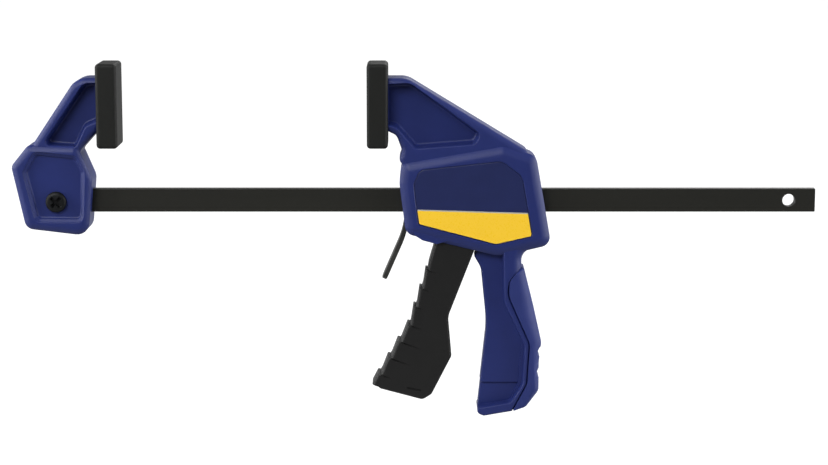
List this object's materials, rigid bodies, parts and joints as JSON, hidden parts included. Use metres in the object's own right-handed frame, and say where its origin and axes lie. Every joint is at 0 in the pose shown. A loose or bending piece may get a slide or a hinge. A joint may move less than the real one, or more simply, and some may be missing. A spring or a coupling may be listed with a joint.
{
  "type": "quick release bar clamp",
  "caption": "One-handed quick release bar clamp with a pistol handle, a pumping trigger, a release lever and soft pads on a flat steel bar.",
  "frame": {"origin": "middle of the fixed pad's clamping face", "axes": "+X along the bar from the fixed jaw to the moving jaw, +Z away from the bar towards the pads' free ends, +Y through the clamp's thickness"},
  "size_m": [0.5137, 0.03, 0.2285],
  "materials": {
    "bar_steel": "blackened, satin",
    "black_steel": "blackened, satin",
    "bright_steel": "zinc plated",
    "lever_steel": "blackened, worn",
    "blue_plastic": "moulded nylon, satin",
    "cover_plastic": "moulded, satin",
    "grip_plastic": "moulded, satin",
    "trigger_plastic": "moulded nylon, satin",
    "pad_rubber": "matt",
    "yellow_label": "printed film"
  },
  "bodies": {
    "fixed_end": {"bar": "bar_steel", "fixed_jaw": "blue_plastic", "fixed_pad": "pad_rubber", "jaw_screw": "black_steel", "jaw_nut": "black_steel"},
    "carriage": {"jaw_body": "blue_plastic", "moving_pad": "pad_rubber", "palm_grip": "grip_plastic", "front_cover": "cover_plastic", "rear_cover": "cover_plastic", "front_label": "yellow_label", "rear_label": "yellow_label", "trigger_pin": "bright_steel", "brake_spring": "bright_steel", "drive_spring": "bright_steel"},
    "trigger": {"trigger": "trigger_plastic"},
    "drive": {"drive_plate_front": "bright_steel", "drive_plate_rear": "bright_steel"},
    "release": {"release_lever": "lever_steel"}
  },
  "joints": [
    {"name": "jaw_slide", "type": "slide", "parent": "fixed_end", "child": "carriage", "axis": [1, 0, 0], "range_m": [-0.1577, 0.147]},
    {"name": "trigger_pull", "type": "hinge", "parent": "carriage", "child": "trigger", "pos_m": [0.224, 0, -0.0456], "axis": [0, -1, 0], "range_deg": [0, 20], "stiffness_Nm_per_rad": 0.4, "springref_deg": -20.05},
    {"name": "drive_slide", "type": "slide", "parent": "carriage", "child": "drive", "axis": [1, 0, 0], "range_m": [0, 0.011], "deforming": ["drive_spring"]},
    {"name": "release_pull", "type": "hinge", "parent": "carriage", "child": "release", "pos_m": [0.1899, 0, -0.037], "axis": [0, -1, 0], "range_deg": [0, 7], "stiffness_Nm_per_rad": 0.3, "springref_deg": -17.19, "deforming": ["brake_spring"]}
  ],
  "couplings": [
    {"joint": "drive_slide", "follows": "trigger_pull", "m_per_rad": 0.031}
  ]
}
